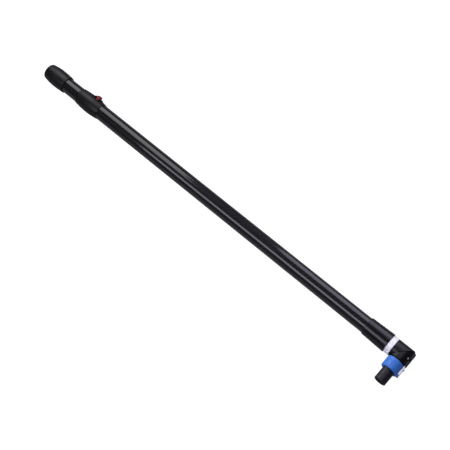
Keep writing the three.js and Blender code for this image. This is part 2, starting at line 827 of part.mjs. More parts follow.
function releaseLatch() {
  const outer = latchInner + latch.thickness;
  const thumbStart = latchShoulder + thumb.setBack;
  const crestStart = thumbStart + thumb.rise;
  const crestEnd = crestStart + thumb.crest;
  const side = new THREE.Shape()
    .moveTo(latchInner, -latchStart)
    .lineTo(outer, -latchStart)
    .lineTo(outer, -latchShoulder)
    .lineTo(latchReach, -latchShoulder)
    .lineTo(latchReach, -thumbStart)
    .lineTo(latchReach + thumb.rise, -crestStart)
    .lineTo(latchReach + thumb.rise, -crestEnd)
    .lineTo(latchReach, -crestEnd - thumb.slope)
    .lineTo(latchReach, -latchEnd)
    .lineTo(latchInner, -latchEnd)
    .closePath();
  return outward(
    new THREE.ExtrudeGeometry(side, { depth: latch.width, bevelEnabled: false })
      .translate(0, 0, -latch.width / 2),
  );
}

function latchReturnSpring() {
  return coilSpring(latchSpring, latchSpring.length)
    .rotateX(Math.PI / 2)
    .translate(latchInner + latch.thickness / 2, -pocketEnd - gap, 0);
}

function mainCable() {
  const shape = new THREE.Shape().absarc(0, 0, cableRadius, 0, 2 * Math.PI, false);
  const end = carrierStep - carrier.length - gap;
  const route = new CableRoute(coupleBack + gap, cableBend, end);
  return outward(
    new THREE.ExtrudeGeometry(shape, { steps: 10, extrudePath: route, curveSegments: 5 }),
  );
}

function buildConnector(group) {
  piece(group, 'elbow_inlet', elbowInlet(), blackPlastic());
  piece(group, 'elbow_outlet', elbowOutlet(), blackPlastic());
  piece(group, 'housing_screw', housingScrew(), steel());
  const band = ring(sealStart, sealStart + ringSealLength, insertSeat, latchSeat);
  piece(group, 'ring_seal', band.rotateZ(-Math.PI / 2), sealRubber());
  piece(group, 'insert_barrel', insertBarrel(), blackPlastic());
  piece(group, 'contact_carrier', contactCarrier(), blackPlastic());
  poleAngles().forEach((angle, i) => {
    piece(group, `contact_${i + 1}`, contactBlade(angle), gold());
  });
  piece(group, 'locking_ring', lockingRing(), bluePlastic());
  piece(group, 'release_latch', releaseLatch(), steel());
  piece(group, 'latch_spring', latchReturnSpring(), steel());
  piece(group, 'main_cable', mainCable(), cableJacket());
}

// ---------------------------------------------------------------- assembly

const assembly = new THREE.Group();
const release = new THREE.Group();
const connector = new THREE.Group();
assembly.add(release, connector);

// The connector's insert runs along its group's -Y, the button stands along its group's +Z.
connector.rotation.x = restAngle;
release.rotation.x = restAngle - THREE.MathUtils.degToRad(buttonSide - 90);

buildUpperSection(assembly);
buildFoot(assembly);
buildCollar(release);
buildConnector(connector);

const box = new THREE.Box3().setFromObject(assembly, true);
const middle = box.getCenter(new THREE.Vector3());
assembly.position.set(-middle.x, -middle.y, -box.min.z);

const boomPole = new THREE.Group();
boomPole.add(assembly);

export default boomPole;
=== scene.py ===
# %% [markdown]
# # A boom pole with a right-angle connector
# The pole is a carbon tube with a moulded cap and a take-apart collar at one end, and a locking
# connector that turns a right angle at the other. Its engineering model is fixed: it says where
# every piece is and how it moves. This lesson dresses that model: it makes finer shapes for the
# pieces that show, gives each one its real finish, and sets up a small studio round it.

# %% Load the fixed frame
import json
import math

import bmesh
import bpy
from mathutils import Matrix, Vector

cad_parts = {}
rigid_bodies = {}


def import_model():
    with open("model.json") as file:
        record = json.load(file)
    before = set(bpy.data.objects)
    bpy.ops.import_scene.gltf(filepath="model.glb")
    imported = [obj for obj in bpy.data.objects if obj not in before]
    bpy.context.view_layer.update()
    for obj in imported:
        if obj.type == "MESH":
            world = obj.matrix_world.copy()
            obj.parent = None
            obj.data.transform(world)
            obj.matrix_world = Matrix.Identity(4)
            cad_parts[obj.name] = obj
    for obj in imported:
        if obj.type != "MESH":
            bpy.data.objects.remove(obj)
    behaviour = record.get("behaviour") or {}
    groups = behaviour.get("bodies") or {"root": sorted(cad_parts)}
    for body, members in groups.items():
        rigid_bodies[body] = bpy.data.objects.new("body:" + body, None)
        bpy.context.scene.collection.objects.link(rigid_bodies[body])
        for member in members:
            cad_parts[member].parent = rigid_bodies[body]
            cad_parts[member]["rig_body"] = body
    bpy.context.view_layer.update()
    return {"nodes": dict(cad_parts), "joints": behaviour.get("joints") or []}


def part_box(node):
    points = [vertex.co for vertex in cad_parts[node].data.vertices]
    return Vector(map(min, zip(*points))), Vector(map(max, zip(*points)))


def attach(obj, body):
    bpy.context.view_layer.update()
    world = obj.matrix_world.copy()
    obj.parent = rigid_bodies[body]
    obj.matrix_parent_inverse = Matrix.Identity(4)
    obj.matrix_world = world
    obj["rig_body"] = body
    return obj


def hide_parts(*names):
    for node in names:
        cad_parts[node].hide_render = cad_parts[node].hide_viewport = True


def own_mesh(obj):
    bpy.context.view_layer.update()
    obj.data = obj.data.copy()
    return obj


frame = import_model()

# %% [markdown]
# ## Two axes that cross
# Nearly every piece of the pole is turned on a lathe or moulded round one of two lines: the
# pole's own axis and the connector's, which cross inside the elbow. A piece is easiest to draw in
# millimetres on a workbench of its own, where the line it turns about is X. One matrix then
# carries it to its place and shrinks it to metres. The lines' directions come from the joints,
# because the latch slides along the connector and the button presses straight inwards.

# %% Find the axes
MM = 0.001


def slide(name):
    """The direction in which a joint slides."""
    return Vector(next(joint["axis"] for joint in frame["joints"] if joint["name"] == name))


along_pole = -slide("section_pull")
down_insert = -slide("latch_slide")
out_of_button = -slide("button_press")

tube_middle = sum(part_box("main_tube"), Vector()) / 2
insert_middle = sum(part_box("insert_barrel"), Vector()) / 2
crossing = Vector((insert_middle.x, tube_middle.y, tube_middle.z))
print("the axes cross at", [round(value, 5) for value in crossing])


# %% Lay out the workbenches
def workbench(along, up, origin=crossing):
    """A matrix from a bench, X along and Z up in millimetres, to the piece's place in metres."""
    turn = Matrix((along, up.cross(along), up)).transposed().to_4x4()
    return Matrix.Translation(origin) @ turn @ Matrix.Scale(MM, 4)


POLE = workbench(along_pole, out_of_button)
ELBOW = workbench(along_pole, -down_insert)
INSERT = workbench(down_insert, along_pole)
print("button bench points", [round(value, 3) for value in out_of_button])

# %% [markdown]
# ## Measuring the engineering model
# A finer piece must fill the same space as the plain one that it replaces. So each piece starts
# from a measurement of its plain version, taken on its bench: where it starts and ends along X,
# and how near to and how far from the axis it reaches.


# %% Measure a piece on its bench
def corners_on(node, bench):
    """A node's corner points on a bench, in millimetres."""
    inverse = bench.inverted()
    return [inverse @ vertex.co for vertex in frame["nodes"][node].data.vertices]


def measured(node, bench=POLE):
    """Start, end, inner radius and outer radius of a turned node."""
    corners = corners_on(node, bench)
    radii = [math.hypot(corner.y, corner.z) for corner in corners]
    stations = [corner.x for corner in corners]
    return min(stations), max(stations), min(radii), max(radii)


def box_on(node, bench=POLE):
    """Lowest and highest corner of a node on a bench."""
    corners = corners_on(node, bench)
    lowest = Vector([min(corner[axis] for corner in corners) for axis in range(3)])
    highest = Vector([max(corner[axis] for corner in corners) for axis in range(3)])
    return lowest, highest


print("main tube", [round(value, 2) for value in measured("main_tube")])

# %% [markdown]
# ## Turning, cutting and softening
# A lathe makes a shape by sweeping an outline round an axis, and `spin` does the same with a few
# vertices. A shape with a flat side is drawn as one face and extruded. Slots, windows and mitres
# are cut with Blender's exact boolean, which suits hollow mouldings better than moving vertices
# by hand. Last, no real edge is perfectly sharp, so each outer corner is bevelled: the thin line
# of light that it catches is what makes a part look made.


# %% Helpers that shape a piece
CLEAR = 60  # millimetres, past the outside of every piece, for tools that cut right through


def turned(outline, sides=96):
    """A shape turned about X, from (along, radius) points round its section."""
    mesh = bmesh.new()
    corners = [mesh.verts.new((along, 0, radius)) for along, radius in outline]
    hollow = min(radius for _, radius in outline) > 0
    pairs = list(zip(corners, corners[1:] + corners[:1]))
    edges = [mesh.edges.new(pair) for pair in (pairs if hollow else pairs[:-1])]
    bmesh.ops.spin(
        mesh, geom=corners + edges, axis=(1, 0, 0), cent=(0, 0, 0), angle=math.tau,
        steps=sides, use_merge=True,
    )
    return closed(mesh)


def closed(mesh):
    """Merges doubles and points every face outwards."""
    bmesh.ops.remove_doubles(mesh, verts=mesh.verts, dist=1e-4)
    bmesh.ops.recalc_face_normals(mesh, faces=mesh.faces)
    return mesh


def tube(start, end, inner, outer, sides=96):
    """A plain turned tube."""
    return turned([(start, inner), (start, outer), (end, outer), (end, inner)], sides)


def rod(start, end, radius, sides=48):
    """A plain turned rod."""
    return turned([(start, 0), (start, radius), (end, radius), (end, 0)], sides)


def block(lowest, highest, corner=0.0):
    """A box between two corners, with its upright edges rounded."""
    mesh = bmesh.new()
    lowest, highest = Vector(lowest), Vector(highest)
    bmesh.ops.create_cube(mesh, size=1)
    bmesh.ops.scale(mesh, verts=mesh.verts, vec=highest - lowest)
    bmesh.ops.translate(mesh, verts=mesh.verts, vec=(highest + lowest) / 2)
    if corner:
        upright = [
            edge for edge in mesh.edges
            if abs((edge.verts[0].co - edge.verts[1].co).normalized().z) > 0.99
        ]
        bmesh.ops.bevel(
            mesh, geom=upright, offset=corner, segments=6, profile=0.5, affect="EDGES",
            material=-1,
        )
    return mesh


def extruded(side, start, end):
    """A shape whose side is drawn from (along, up) points, as wide as from start to end."""
    mesh = bmesh.new()
    profile = mesh.faces.new([mesh.verts.new((along, start, up)) for along, up in side])
    drawn = bmesh.ops.extrude_face_region(mesh, geom=[profile])
    moved = [item for item in drawn["geom"] if isinstance(item, bmesh.types.BMVert)]
    bmesh.ops.translate(mesh, verts=moved, vec=(0, end - start, 0))
    return closed(mesh)


def combined(body, tool, operation="DIFFERENCE"):
    """A body with a tool cut away, joined on or kept in common. Both are used up."""
    pair = []
    for mesh in (body, tool):
        data = bpy.data.meshes.new("part of a cut")
        mesh.to_mesh(data)
        mesh.free()
        thing = bpy.data.objects.new("part of a cut", data)
        bpy.context.scene.collection.objects.link(thing)
        pair.append(thing)
    cut = pair[0].modifiers.new("cut", "BOOLEAN")
    cut.solver = "EXACT"
    cut.operation = operation
    cut.object = pair[1]
    result = bmesh.new()
    result.from_object(pair[0], bpy.context.evaluated_depsgraph_get())
    for thing in pair:
        data = thing.data
        bpy.data.objects.remove(thing)
        bpy.data.meshes.remove(data)
    return closed(result)


def softened(mesh, width, segments=2, sharper_than=35):
    """Bevels the outer corners."""
    sharp = [
        edge for edge in mesh.edges
        if edge.is_manifold and edge.is_convex
        and edge.calc_face_angle(0) > math.radians(sharper_than)
    ]
    bmesh.ops.bevel(
        mesh, geom=sharp, offset=width, segments=segments, profile=0.5, affect="EDGES",
        clamp_overlap=True, material=-1,
    )
    return mesh


def swelling(start, peak, end, steps=24):
    """An outline that swells from start up to peak and back to end, all (along, radius)."""
    points = []
    for step in range(steps + 1):
        along = start[0] + (end[0] - start[0]) * step / steps
        foot = start if (along - peak[0]) * (end[0] - start[0]) < 0 else end
        share = (along - peak[0]) / (foot[0] - peak[0])
        points.append((along, peak[1] - (peak[1] - foot[1]) * share ** 2))
    return points


# %% [markdown]
# ## Finishing a piece
# Once a shape is right it is carried to its place, shaded smooth except across real corners, and
# given its finish. It rides on the body that it belongs to, and stands for the plain node.


# %% Helper that finishes a piece
def fit(name, mesh, node, finish, bench=POLE, smooth=32):
    """Puts a shape in place of a node of the engineering model."""
    faces = len(mesh.faces)
    mesh.transform(bench)
    data = bpy.data.meshes.new(name)
    mesh.to_mesh(data)
    mesh.free()
    data.shade_smooth()
    data.set_sharp_from_angle(angle=math.radians(smooth))
    data.materials.append(finish)
    piece = bpy.data.objects.new(name, data)
    bpy.context.scene.collection.objects.link(piece)
    weighted = piece.modifiers.new("normals", "WEIGHTED_NORMAL")
    weighted.keep_sharp = True
    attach(piece, frame["nodes"][node]["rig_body"])
    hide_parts(node)
    print(name, faces, "faces", [round(value / MM, 1) for value in piece.dimensions], "mm")
    return piece


# %% [markdown]
# ## Building a finish from nodes
# Every finish is a Principled shader fed by a few nodes. One small function adds a node, sets
# it and links it. Colours are written as on screen, so another function turns them linear.


# %% Helpers that make a finish
def linear(colour):
    """An sRGB hex colour as linear red, green, blue and alpha."""
    parts = [int(colour[place:place + 2], 16) / 255 for place in (1, 3, 5)]
    turned_linear = [
        part / 12.92 if part <= 0.04045 else ((part + 0.055) / 1.055) ** 2.4 for part in parts
    ]
    return (*turned_linear, 1.0)


def add(tree, kind, sockets, **settings):
    """Adds a node. A socket is given a value, or the output that feeds it."""
    node = tree.nodes.new(kind)
    for name, value in settings.items():
        setattr(node, name, value)
    for socket, value in sockets.items():
        if isinstance(value, bpy.types.NodeSocket):
            tree.links.new(value, node.inputs[socket])
        else:
            node.inputs[socket].default_value = value
    return node


def shader(name, sockets):
    """A new material: the material, its node tree and its shader, with plain values set."""
    material = bpy.data.materials.new(name)
    material.use_nodes = True
    principled = material.node_tree.nodes["Principled BSDF"]
    for socket, value in sockets.items():
        principled.inputs[socket].default_value = value
    return material, material.node_tree, principled


def skinned(name, sockets, colours, roughness, grain, relief, patch=16, stretch=(1, 1, 1)):
    """A finish with two close colours in broad patches and a fine grain, sizes in mm."""
    material, tree, principled = shader(name, sockets)
    link = tree.links.new
    place = add(tree, "ShaderNodeTexCoord", {}).outputs["Object"]
    drawn_out = add(tree, "ShaderNodeMapping", {"Vector": place, "Scale": stretch})
    fine = add(tree, "ShaderNodeTexNoise", {
        "Vector": drawn_out.outputs[0], "Scale": 1 / (grain * MM), "Detail": 3.0,
        "Roughness": 0.6,
    })
    broad = add(tree, "ShaderNodeTexNoise", {
        "Vector": place, "Scale": 1 / (patch * MM), "Detail": 4.0,
    })
    blend = add(tree, "ShaderNodeMath", {0: fine.outputs[0], 1: broad.outputs[0]},
                operation="MULTIPLY")
    tint = add(tree, "ShaderNodeMix", {
        0: blend.outputs[0], 6: linear(colours[0]), 7: linear(colours[1]),
    }, data_type="RGBA")
    matt = add(tree, "ShaderNodeMapRange", {
        "Value": broad.outputs[0], "From Min": 0.3, "From Max": 0.7,
        "To Min": roughness[0], "To Max": roughness[1],
    })
    bump = add(tree, "ShaderNodeBump", {
        "Height": fine.outputs[0], "Strength": 0.6, "Distance": relief * MM,
    })
    link(tint.outputs[2], principled.inputs["Base Color"])
    link(matt.outputs[0], principled.inputs["Roughness"])
    link(bump.outputs[0], principled.inputs["Normal"])
    print("finish", name)
    return material


# %% [markdown]
# ## Clear-coated carbon fibre
# The tubes are wrapped in woven carbon fibre under a thick clear lacquer. The weave is a twill:
# each bundle of fibres passes over two and under two, and every row is shifted by one, which
# draws fine diagonals. The bundles shine differently along and across, and that shine is painted
# into the base colour as a painted sheen: each crossing is a little lighter or darker, and the
# crown of each bundle is painted lightest, broken up by random flecks of real tone. The pattern
# needs to run round the tube, so the angle round the axis and the distance along it are worked
# out from the position. A bundle is 2 mm wide, and 44 of them close exactly round the 28 mm tube.
# Lacquer over black reflects a lamp as a long sharp band, and the fibres under it hardly shine at
# all.

# %% Make the carbon finish
BUNDLES_ROUND, FLECK, RELIEF = 44, 2.2, 0.12
tube_radius = measured("main_tube")[3]
bundle = math.tau * tube_radius / BUNDLES_ROUND


def carbon_fibre():
    material, tree, principled = shader("clear-coated carbon fibre with painted sheen", {
        "IOR": 1.55, "Specular IOR Level": 0.1, "Coat Weight": 1.0, "Coat Roughness": 0.08,
        "Coat IOR": 1.42,
    })
    link = tree.links.new

    def calculate(operation, *values):
        return add(tree, "ShaderNodeMath", dict(enumerate(values)),
                   operation=operation).outputs[0]

    place = add(tree, "ShaderNodeTexCoord", {}).outputs["Object"]
    centred = add(tree, "ShaderNodeMapping", {"Vector": place, "Location": crossing},
                  vector_type="TEXTURE")
    along, across, up = add(tree, "ShaderNodeSeparateXYZ", {0: centred.outputs[0]}).outputs
    round_it = calculate("MULTIPLY", calculate("ARCTAN2", up, across), BUNDLES_ROUND / math.tau)
    down_it = calculate("DIVIDE", along, bundle * MM)
    shift = calculate("ADD", calculate("FLOOR", round_it), calculate("FLOOR", down_it))
    over = calculate("LESS_THAN", calculate("FLOORED_MODULO", shift, 4.0), 1.5)
    ridges = [
        calculate("ABSOLUTE", calculate("SINE", calculate("MULTIPLY", count, math.pi)))
        for count in (round_it, down_it)
    ]
    crown = add(tree, "ShaderNodeMix", {0: over, 2: ridges[1], 3: ridges[0]}).outputs[0]
    fleck = add(tree, "ShaderNodeTexNoise", {
        "Vector": place, "Scale": 1 / (FLECK * MM), "Detail": 3.0, "Roughness": 0.7,
    }).outputs[0]
    # Painted sheen: the crossings and each bundle's crown are lightened in the base colour, times
    # random flecks.
    painted_sheen = calculate("MULTIPLY", calculate("MULTIPLY_ADD", over, 0.75, 0.25), crown)
    tint = add(tree, "ShaderNodeMix", {
        0: calculate("MULTIPLY", painted_sheen, fleck), 6: linear("#030304"), 7: linear("#222228"),
    }, data_type="RGBA")
    matt = calculate("MULTIPLY_ADD", crown, -0.16, 0.52)
    bump = add(tree, "ShaderNodeBump", {
        "Height": crown, "Strength": 0.5, "Distance": RELIEF * MM,
    })
    link(tint.outputs[2], principled.inputs["Base Color"])
    link(matt, principled.inputs["Roughness"])
    link(bump.outputs[0], principled.inputs["Normal"])
    print("finish carbon fibre, bundle", round(bundle, 3), "mm")
    return material


carbon = carbon_fibre()

# %% [markdown]
# ## Moulded plastics and rubbers
# The cap and the collar are moulded in a soft matt black elastomer, whose fine spark-eroded
# grain breaks up every reflection. The sleeve is a satin black nylon, smoother, so that it shows
# two soft bands of light. The connector's housing is a harder matt nylon, and its insert is
# filled with glass, which turns the black a little grey. The carrier inside the insert is a dull
# polyester, black, and painted darker still than the other blacks: that extra darkness is painted
# shade for the barrel's deep mouth. The white acetal and the blue nylon let a little light in,
# which softens their shading. The button is ABS, smooth enough to shine a little, and the seals
# and the cable are rubber, the dullest of all. A real grain is 0.1 to 0.3 mm across: it is drawn
# at 0.5 to 0.9 mm so that it shows at all.

# %% Make the plastic finishes
soft_black = skinned(
    "soft-touch black elastomer", {"IOR": 1.45, "Specular IOR Level": 0.36},
    ("#050507", "#101013"), (0.38, 0.48), grain=0.9, relief=0.05,
)
satin_black = skinned(
    "satin black nylon", {"IOR": 1.5, "Specular IOR Level": 0.36},
    ("#050507", "#0f0e13"), (0.22, 0.3), grain=0.9, relief=0.02,
)
matt_black = skinned(
    "matt black nylon", {"IOR": 1.5, "Specular IOR Level": 0.32},
    ("#040406", "#0c0c10"), (0.34, 0.46), grain=0.8, relief=0.035,
)
filled_black = skinned(
    "glass-filled black nylon", {"IOR": 1.52, "Specular IOR Level": 0.36},
    ("#0c0c10", "#1f1e25"), (0.42, 0.54), grain=0.6, relief=0.03,
)
# Painted shade: the carrier is darker than the other blacks so that the barrel's deep mouth stays
# dark.
carrier_black_mouth_shade = skinned(
    "black polyester, darkened as painted mouth shade", {"IOR": 1.5, "Specular IOR Level": 0.15},
    ("#040405", "#09090b"), (0.5, 0.62), grain=0.8, relief=0.03,
)
white_band = skinned(
    "moulded white acetal", {"IOR": 1.48, "Subsurface Weight": 0.1, "Subsurface Scale": 0.002},
    ("#f1f0f6", "#fbfaff"), (0.38, 0.48), grain=0.8, relief=0.012,
)
blue_band = skinned(
    "moulded blue nylon", {"IOR": 1.53, "Subsurface Weight": 0.06, "Subsurface Scale": 0.001},
    ("#2a67c0", "#5292da"), (0.34, 0.46), grain=0.7, relief=0.02,
)
red_cap = skinned(
    "moulded red ABS", {"IOR": 1.54}, ("#75101a", "#a3212d"), (0.3, 0.42), grain=0.7,
    relief=0.015,
)
nitrile = skinned(
    "black nitrile rubber", {"IOR": 1.52}, ("#0b0b0c", "#19191a"), (0.6, 0.75), grain=0.5,
    relief=0.03,
)
jacket = skinned(
    "black rubber cable jacket", {"IOR": 1.5}, ("#101012", "#1f1f22"), (0.5, 0.66), grain=0.7,
    relief=0.04,
)

# %% [markdown]
# ## Metals
# Inside the pole the bushes and the spigot are turned aluminium: the tool leaves fine rings
# round the axis. The latch and the plate that locks the spigot are nickel-plated steel, drawn
# and brushed. The housing screw and the springs are zinc-plated, the screw with a bright tumbled
# skin that spreads the light, and the contacts are gold-plated brass. A metal's colour is the
# colour of its reflection, so the grain is mostly in the roughness. Stretching the noise along
# one direction draws it out into fine lines, 0.2 mm apart on the real ones and drawn 0.5 mm apart.

# %% Make the metal finishes
turned_aluminium = skinned(
    "turned aluminium", {"Metallic": 1.0}, ("#a9acb1", "#cfd1d5"), (0.26, 0.42), grain=0.5,
    relief=0.012, stretch=(1, 0.06, 0.06),
)
nickel_plate = skinned(
    "nickel-plated steel", {"Metallic": 1.0}, ("#bebfc5", "#dadbe0"), (0.3, 0.44), grain=0.5,
    relief=0.01, stretch=(1, 0.08, 1),
)
screw_zinc = skinned(
    "bright zinc-plated steel", {"Metallic": 1.0}, ("#e4e4ea", "#fafafd"), (0.46, 0.6),
    grain=0.4, relief=0.008,
)
spring_wire = skinned(
    "zinc-plated spring wire", {"Metallic": 1.0}, ("#9a9ca0", "#c9ccd0"), (0.24, 0.36),
    grain=0.4, relief=0.008,
)
gold_plate = skinned(
    "gold-plated brass", {"Metallic": 1.0}, ("#c9a04a", "#ecca7a"), (0.18, 0.3), grain=0.4,
    relief=0.006,
)

# %% [markdown]
# ## The tubes
# A carbon tube is cut with a saw and its ends are broken with emery, so each has a tiny bevel.
# Turning an outline of four points and bevelling it is all that it needs.

# %% Make the tubes
for node in ("main_tube", "upper_tube"):
    fit(f"carbon_{node}", softened(tube(*measured(node)), 0.25), node, carbon)

# %% [markdown]
# ## The cap
# The cap is barrel-shaped, fattest in its middle, with a rounded rim at its open end and a thin
# lip where it meets the tube. A real one hides a small seal in a groove inside. All of that is
# one turned outline, so it is drawn once, going round the wall.

# %% Make the cap
GAP = 0.3
# How far from its near end it is fattest, how far its lip stands off the tube, then the rim.
CAP_SWELLS, CAP_LIP, RIM, RIM_PROUD, MOUTH_BEVEL = 24, 1.65, 2.0, 0.6, 0.7
cap_far, cap_near, _, cap_radius = measured("end_cap")
seal_start, seal_end, over_tube, seal_radius = measured("cap_seal")
tube_in_cap = measured("upper_tube")[0] - GAP
socket = measured("socket_carrier")[3] + GAP
rim_radius, lip_radius = tube_radius + RIM_PROUD, tube_radius + CAP_LIP

cap_outline = swelling(
    (cap_near, lip_radius), (cap_near - CAP_SWELLS, cap_radius), (cap_far + RIM, rim_radius),
)
for turn in (step * math.pi / 8 for step in (1, 2, 3, 4)):
    cap_outline.append(
        (cap_far + RIM * (1 - math.sin(turn)), rim_radius - RIM * (1 - math.cos(turn)))
    )
cap_outline += [
    (cap_far, socket + MOUTH_BEVEL), (cap_far + MOUTH_BEVEL, socket), (tube_in_cap, socket),
    (tube_in_cap, over_tube), (seal_start - GAP, over_tube), (seal_start - GAP, seal_radius + GAP),
    (seal_end + GAP, seal_radius + GAP), (seal_end + GAP, over_tube), (cap_near, over_tube),
]
fit("moulded_cap", softened(turned(cap_outline), 0.3, 3), "end_cap", soft_black)

# %% [markdown]
# ## The collar and its button
# The collar is the same soft black, olive-shaped, with a window for the button. The window is
# cut before the edges are softened, so that its corners soften too.

# %% Make the collar shell
# How far from its far end it is fattest, and how far its lips stand off the tube.
COLLAR_SWELLS, COLLAR_LIP = 27.2, 0.75
collar_far, collar_near, _, collar_radius = measured("collar_shell")
lip = tube_radius + COLLAR_LIP
surround_low, surround_high = box_on("button_surround")
window = block(
    (surround_low.x - GAP, surround_low.y - GAP, 0),
    (surround_high.x + GAP, surround_high.y + GAP, CLEAR),
)
shell = turned(
    swelling((collar_near, lip), (collar_far + COLLAR_SWELLS, collar_radius), (collar_far, lip))
    + [(collar_far, over_tube), (collar_near, over_tube)]
)
fit("moulded_collar", softened(combined(shell, window), 0.2), "collar_shell", soft_black)

# %% [markdown]
# The button stands in a surround of harder plastic. On the cap's side it rises in a ramp, which
# guards the button from being pressed by accident and keeps it in, because a lip of the button
# reaches under it. The plain surround is a piece of tube, kept only where an upright block with
# rounded corners meets it, and the ramp is extruded from its side. The window is a well that is
# open at the top and a lower one that goes on under the ramp.

# %% Make the button's surround
BUTTON_LIP, LIP_HEIGHT = 4.0, 1.5
SURROUND_PROUD, SURROUND_CORNER = 0.75, 2.4
GUARD_WIDTH, RAMP, RAMP_FOOT = 15.0, 4.4, 0.5  # the ramp's length and how low it starts
surround_top = collar_radius + SURROUND_PROUD
button_low, button_high = box_on("release_button")
plan = block(
    (surround_low.x, surround_low.y, 0), (surround_high.x, surround_high.y, CLEAR),
    corner=SURROUND_CORNER,
)
surround = combined(
    tube(surround_low.x - 1, surround_high.x + 1, over_tube, surround_top), plan, "INTERSECT",
)
guard_near, guard_root = button_low.x + BUTTON_LIP - GAP, over_tube + 1
guard = extruded([
    (surround_low.x, guard_root), (surround_low.x, surround_top - RAMP_FOOT),
    (surround_low.x + RAMP, surround_high.z), (guard_near, surround_high.z),
    (guard_near, guard_root),
], -GUARD_WIDTH / 2, GUARD_WIDTH / 2)
lip_top = button_low.z + LIP_HEIGHT
well = block(
    (guard_near, button_low.y - GAP, 0), (button_high.x + GAP, button_high.y + GAP, CLEAR),
)
under_guard = block(
    (button_low.x - GAP, button_low.y - GAP, 0),
    (guard_near + 1, button_high.y + GAP, lip_top + GAP),
)
surround = combined(combined(surround, guard, "UNION"), combined(well, under_guard, "UNION"))
fit("button_surround_moulding", softened(surround, 0.35, 3), "button_surround", matt_black)

# %% [markdown]
# The button is a cap with well rounded edges and three low ribs across its top for the
# fingertip. It is hollow underneath, where the spring pushes, and has a lip at its foot that the
# ramp holds down. The top is bevelled in two goes: the upright corners first, then the rim of
# the top. The ribs and the lip are blocks, joined on.

# %% Make the button
BUTTON_CORNER, BUTTON_EDGE, LIP_INSET = 2.0, 1.2, 1.2
GRIP_PITCH, GRIP_WIDTH, GRIP_LENGTH, GRIP_HEIGHT = 1.7, 0.8, 7.2, 0.3
grip_foot = button_high.z - GRIP_HEIGHT
button = block(
    button_low + Vector((BUTTON_LIP, 0, 0)), (button_high.x, button_high.y, grip_foot),
    corner=BUTTON_CORNER,
)
top_rim = [
    edge for edge in button.edges
    if all(vertex.co.z > grip_foot - 0.2 for vertex in edge.verts)
]
bmesh.ops.bevel(
    button, geom=top_rim, offset=BUTTON_EDGE, segments=5, profile=0.5, affect="EDGES",
    clamp_overlap=True, material=-1,
)
for number in (-1, 0, 1):
    middle = (button_low.x + BUTTON_LIP + button_high.x) / 2 + number * GRIP_PITCH
    rib = block(
        (middle - GRIP_WIDTH / 2, -GRIP_LENGTH / 2, button_high.z - 1),
        (middle + GRIP_WIDTH / 2, GRIP_LENGTH / 2, button_high.z), corner=0.3,
    )
    button = combined(button, rib, "UNION")
button_foot = block(
    button_low + Vector((0, LIP_INSET, 0)),
    (button_low.x + BUTTON_LIP + 1, button_high.y - LIP_INSET, lip_top),
)
button = combined(button, button_foot, "UNION")
spring_low, spring_high = box_on("button_spring")
spring_x = (spring_low.x + spring_high.x) / 2
seat = rod(0, spring_high.z + GAP, spring_high.y + GAP)
bmesh.ops.rotate(seat, verts=seat.verts, matrix=Matrix.Rotation(-math.pi / 2, 3, "Y"))
bmesh.ops.translate(seat, verts=seat.verts, vec=(spring_x, 0, 0))
fit("button_cap", softened(combined(button, seat), 0.15), "release_button", red_cap)

# %% [markdown]
# ## The sleeve and the white ring
# The sleeve flares a little towards the connector and ends in a rounded shoulder. The white
# ring next to it is a plain band that marks the pole, with softly rounded edges.

# %% Make the sleeve and the ring
SLEEVE_LIP, SLEEVE_BEVEL = 1.0, 0.4
sleeve_far, sleeve_near, _, sleeve_radius = measured("lower_sleeve")
lip = tube_radius + SLEEVE_LIP
sleeve = turned([
    (sleeve_far, over_tube), (sleeve_far, lip), (sleeve_far + SLEEVE_BEVEL, lip + SLEEVE_BEVEL),
    (sleeve_near, sleeve_radius), (sleeve_near, over_tube),
])
fit("satin_sleeve", softened(sleeve, 0.7, 4, sharper_than=50), "lower_sleeve", satin_black)
fit("white_band_ring", softened(tube(*measured("white_ring")), 0.35, 3), "white_ring", white_band)

# %% [markdown]
# ## The elbow
# The connector's housing is two mouldings that meet on a mitre at 45 degrees, with the sharp
# outer corner cut off. Each half is a turned tube, cut by a block that stands on the mitre, and
# bored out where the insert goes in. A line of shadow marks the mitre, because each half has a
# narrow step all along it. The step is cut by what is left of the block beyond it once a core,
# a rod a little thinner than the housing, is taken out.

# %% Make the tools that cut the elbow
BORE, SEAM, SEAM_DEPTH = 9.0, 0.45, 1.2
CORNER_FLAT, INLET_PROUD = 3.5, 1.3  # what the cut takes off, and how far the inlet reaches out
inlet_start = measured("elbow_inlet", ELBOW)[0]
elbow_radius = -inlet_start - INLET_PROUD
corner_cut = math.sqrt(2) * elbow_radius - CORNER_FLAT / math.sqrt(2)


def beyond(bench_x, bench_z, distance):
    """A large block on the far side of a plane, which is square to a direction in X and Z."""
    reach = 2 * CLEAR
    mesh = block((distance, -reach, -reach), (distance + 2 * reach, reach, reach))
    turn = Matrix.Rotation(-math.atan2(bench_z, bench_x), 3, "Y")
    bmesh.ops.rotate(mesh, verts=mesh.verts, matrix=turn)
    return mesh


def stepped(half, bench_x):
    """Half of the elbow with a narrow step cut all along its mitre."""
    core = rod(-CLEAR, CLEAR, elbow_radius - SEAM_DEPTH, 96)
    return combined(half, combined(beyond(bench_x, -1, -GAP / 2 - SEAM), core))


print("elbow radius", round(elbow_radius, 2), "corner cut at", round(corner_cut, 2))

